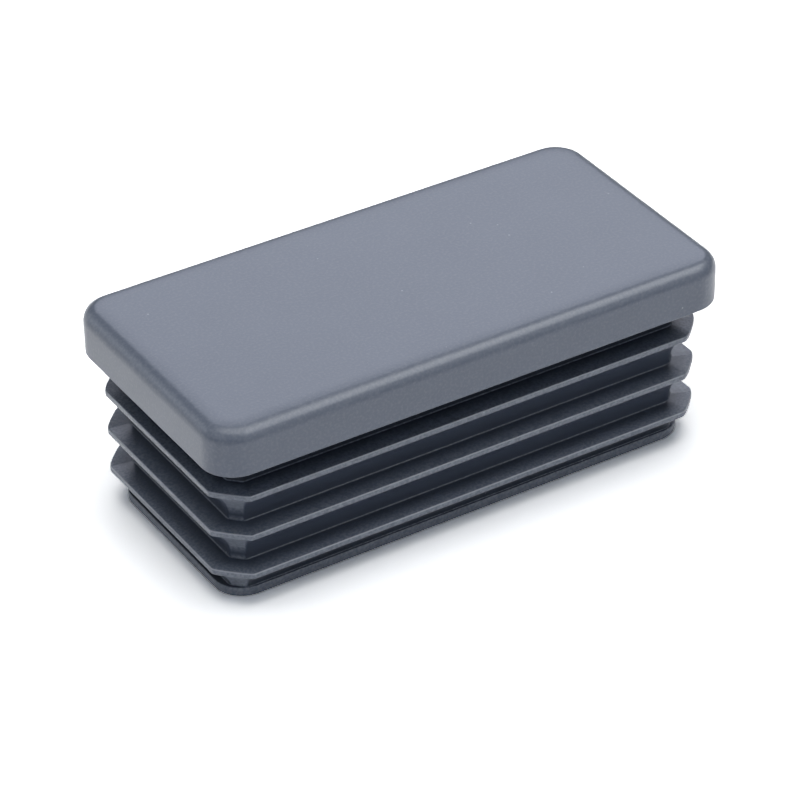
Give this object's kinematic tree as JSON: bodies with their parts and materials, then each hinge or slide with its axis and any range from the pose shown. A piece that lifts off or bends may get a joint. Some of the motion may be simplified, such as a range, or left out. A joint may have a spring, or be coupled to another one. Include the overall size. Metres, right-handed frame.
{
  "type": "post cap",
  "caption": "Rectangular moulded plastic post cap: a flat rounded head over a hollow plug with flared ribs that press into the open end of a rectangular tube.",
  "frame": {"origin": "centre of the head's underside, on the plane where the cut end of the tube meets the head", "axes": "+X along the head's length, +Y along its width, +Z out of the tube towards the top of the head"},
  "size_m": [0.04, 0.02, 0.0149],
  "materials": {
    "moulded_plastic": "fine matt mould texture, slate grey"
  },
  "bodies": {
    "root": {"post_cap": "moulded_plastic"}
  },
  "joints": []
}
